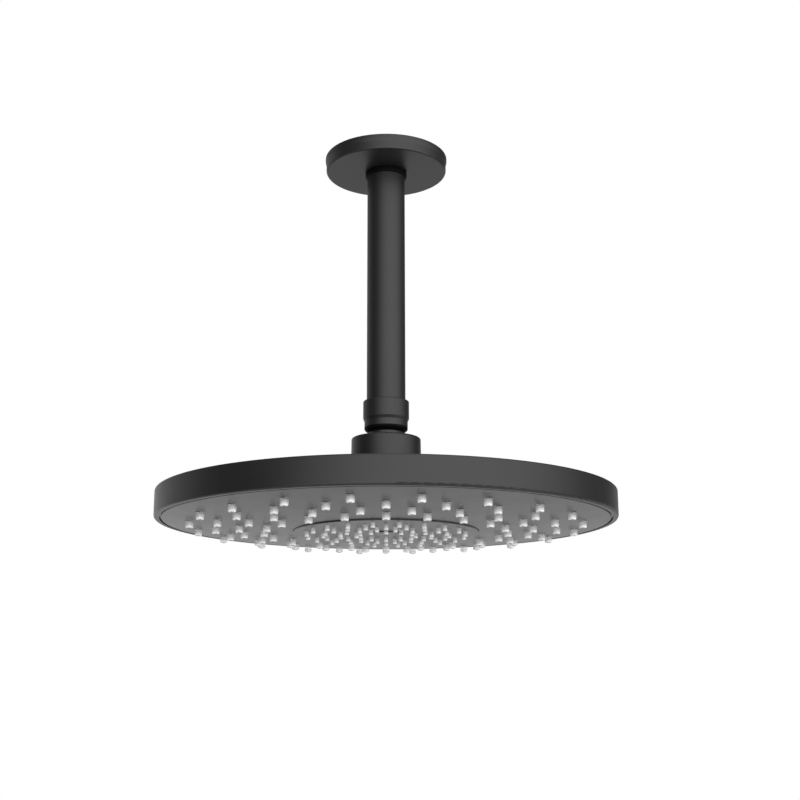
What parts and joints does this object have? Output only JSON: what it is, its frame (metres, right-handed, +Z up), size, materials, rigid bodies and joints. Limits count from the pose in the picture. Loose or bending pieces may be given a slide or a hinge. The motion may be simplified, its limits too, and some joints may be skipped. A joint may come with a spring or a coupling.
{
  "type": "rainfall shower head with ceiling arm",
  "caption": "Round matte black rainfall shower head on a straight ceiling drop arm, with a tilting and swivelling ball joint and soft nozzles.",
  "frame": {"origin": "on the arm's axis in the ceiling plane, at the root of the inlet thread", "axes": "+Z up along the arm into the ceiling, -Y towards the viewer, +X to the viewer's right"},
  "size_m": [0.254, 0.254, 0.237],
  "materials": {
    "black_metal": "matte black powder coat on brass",
    "black_shell": "matte black coat on a moulded shell",
    "black_face": "satin black coat, softly reflecting at a low angle",
    "clear_silicone": "translucent clear silicone",
    "black_rubber": "plain black rubber",
    "black_foam": "closed-cell foam",
    "black_plastic": "moulded, fine satin",
    "grey_plastic": "natural grey moulded plastic",
    "green_plastic": "moulded acetal",
    "white_acetal": "turned acetal, greased",
    "brass": "machined brass",
    "stainless": "stainless steel"
  },
  "bodies": {
    "arm": {"ceiling_flange": "black_metal", "flange_gasket": "black_foam", "flange_o_ring": "black_rubber", "drop_pipe": "black_metal", "inlet_nipple": "brass", "outlet_nipple": "brass", "swivel_nut": "black_metal", "guard_ring": "black_rubber", "sealing_washer": "black_rubber", "filter_screen": "stainless", "flow_restrictor": "green_plastic", "ball_stud": "black_metal"},
    "liner": {"ball_liner": "white_acetal"},
    "seat": {"ball_seat": "white_acetal", "ball_seal": "black_rubber"},
    "head": {"retaining_ring": "black_plastic", "head_shell": "black_shell", "face_plate": "black_face", "face_disc": "black_face", "nozzle_mat": "clear_silicone", "chamber_cover": "grey_plastic", "spigot_seal": "black_rubber", "cover_screws": "stainless", "centre_screw": "stainless", "centre_cap": "black_face"}
  },
  "joints": [
    {"name": "tilt_front_back", "type": "hinge", "parent": "arm", "child": "liner", "pos_m": [0, 0, -0.179], "axis": [1, 0, 0], "range_deg": [-12, 12]},
    {"name": "tilt_side", "type": "hinge", "parent": "liner", "child": "seat", "pos_m": [0, 0, -0.179], "axis": [0, 1, 0], "range_deg": [-12, 12]},
    {"name": "swivel", "type": "hinge", "parent": "seat", "child": "head", "pos_m": [0, 0, -0.179], "axis": [0, 0, 1], "continuous": true}
  ]
}
